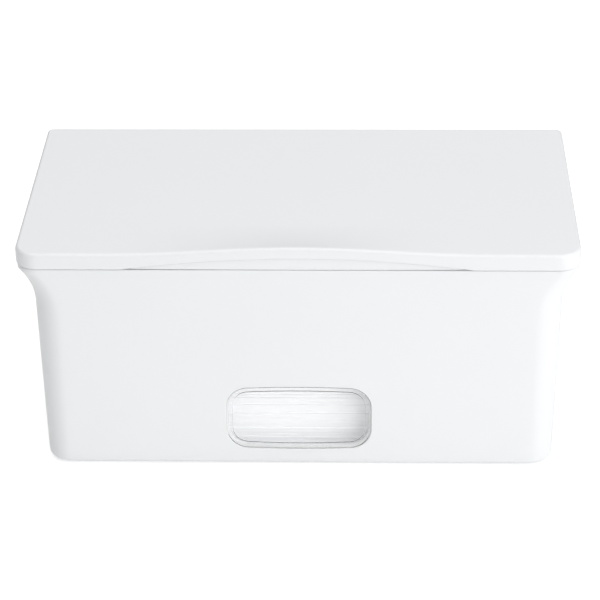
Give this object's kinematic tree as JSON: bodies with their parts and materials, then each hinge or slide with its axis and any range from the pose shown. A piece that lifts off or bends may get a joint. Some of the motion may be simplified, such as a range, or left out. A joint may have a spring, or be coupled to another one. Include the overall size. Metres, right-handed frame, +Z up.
{
  "type": "wipes dispenser",
  "caption": "Closed white box for moist wipes: hinged lid with a finger arch, seal, clear window in the front, and a weighted plate with a slot that lies on the stack.",
  "frame": {"origin": "middle of the closed dispenser's footprint, at the height of the surface that it stands on", "axes": "+Z up, -Y towards the front with the window, +X to the right seen from the front"},
  "size_m": [0.245, 0.132, 0.1119],
  "materials": {
    "body_plastic": "satin-gloss white moulded ABS",
    "rim_plastic": "satin-gloss white moulded ABS",
    "lid_plastic": "satin-gloss white moulded ABS",
    "lens_clear": "clear polished acrylic",
    "window_seal_silicone": "matt translucent grey silicone",
    "gasket_silicone": "matt translucent white silicone",
    "pin_steel": "bright drawn steel",
    "plate_plastic": "fine matt white moulding",
    "weight_steel": "zinc-plated steel",
    "screw_steel": "zinc-plated steel",
    "lip_rubber": "soft matt grey elastomer",
    "wipes_fabric": "moist non-woven fabric",
    "foot_rubber": "matt grey rubber"
  },
  "bodies": {
    "tub": {"body_shell": "body_plastic", "window_lens": "lens_clear", "window_seal": "window_seal_silicone", "rim_frame": "rim_plastic", "hinge_pin_left": "pin_steel", "hinge_pin_right": "pin_steel", "wipes_stack": "wipes_fabric", "foot_front_left": "foot_rubber", "foot_front_right": "foot_rubber", "foot_rear_left": "foot_rubber", "foot_rear_right": "foot_rubber"},
    "lid": {"lid": "lid_plastic", "lid_gasket": "gasket_silicone"},
    "weighted_plate": {"plate_cover": "plate_plastic", "plate_base": "plate_plastic", "weight_bar_left": "weight_steel", "weight_bar_right": "weight_steel", "plate_screws": "screw_steel", "slot_lip": "lip_rubber"}
  },
  "joints": [
    {"name": "lid_hinge", "type": "hinge", "parent": "tub", "child": "lid", "pos_m": [0, 0.06345, 0.10395], "axis": [-1, 0, 0], "range_deg": [0, 95]},
    {"name": "plate_slide", "type": "slide", "parent": "tub", "child": "weighted_plate", "axis": [0, 0, 1], "range_m": [-0.05, 0.012], "deforming": ["wipes_stack"]}
  ]
}
